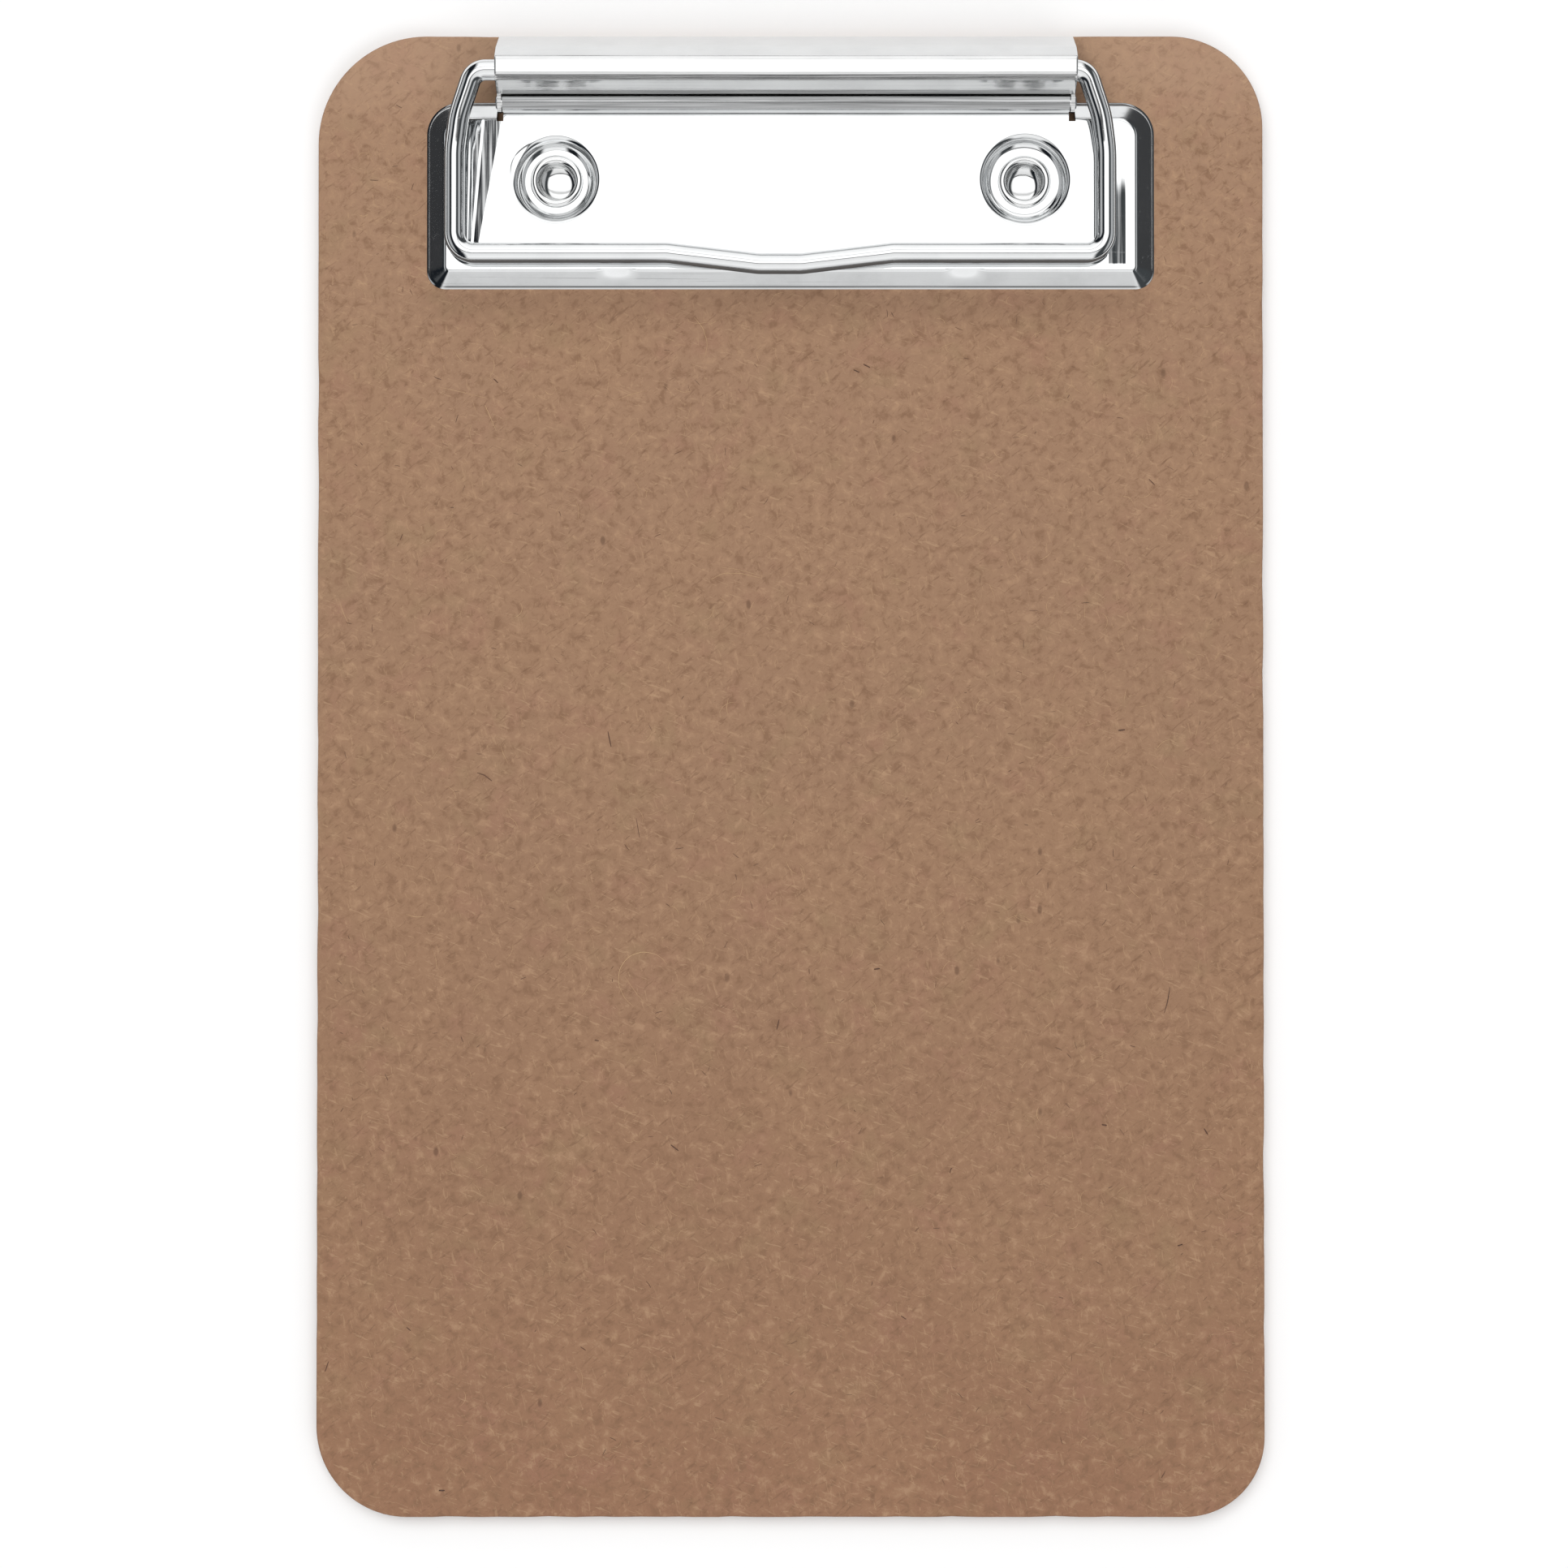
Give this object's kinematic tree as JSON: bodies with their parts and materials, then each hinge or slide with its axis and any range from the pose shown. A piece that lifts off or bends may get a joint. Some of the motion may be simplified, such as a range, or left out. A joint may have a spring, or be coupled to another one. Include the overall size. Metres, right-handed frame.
{
  "type": "clipboard",
  "caption": "Small brown hardboard clipboard with a low nickel-plated wire clip at the rear edge.",
  "frame": {"origin": "centre of the board's back face, on the surface it lies on", "axes": "+Z out of the writing face, +Y along the board towards the clip, +X across the board to the right"},
  "size_m": [0.138, 0.216, 0.0118],
  "materials": {
    "hardboard": "matte",
    "plated_sheet": "polished",
    "plated_rivet": "polished",
    "plated_wire": "polished"
  },
  "bodies": {
    "base": {"board": "hardboard", "clip_base_plate": "plated_sheet", "rivet_left": "plated_rivet", "rivet_right": "plated_rivet"},
    "lever": {"clip_lever": "plated_sheet", "pivot_rod": "plated_rivet"},
    "jaw": {"jaw_wire": "plated_wire"}
  },
  "joints": [
    {"name": "lever_hinge", "type": "hinge", "parent": "base", "child": "lever", "pos_m": [-0.00065, 0.0975, 0.0062], "axis": [1, 0, 0], "range_deg": [0, 100]},
    {"name": "wire_hinge", "type": "hinge", "parent": "lever", "child": "jaw", "pos_m": [-0.00065, 0.1016, 0.00885], "axis": [1, 0, 0], "range_deg": [-114, 0]}
  ],
  "couplings": [
    {"joint": "wire_hinge", "follows": "lever_hinge", "ratio": -1.14}
  ]
}
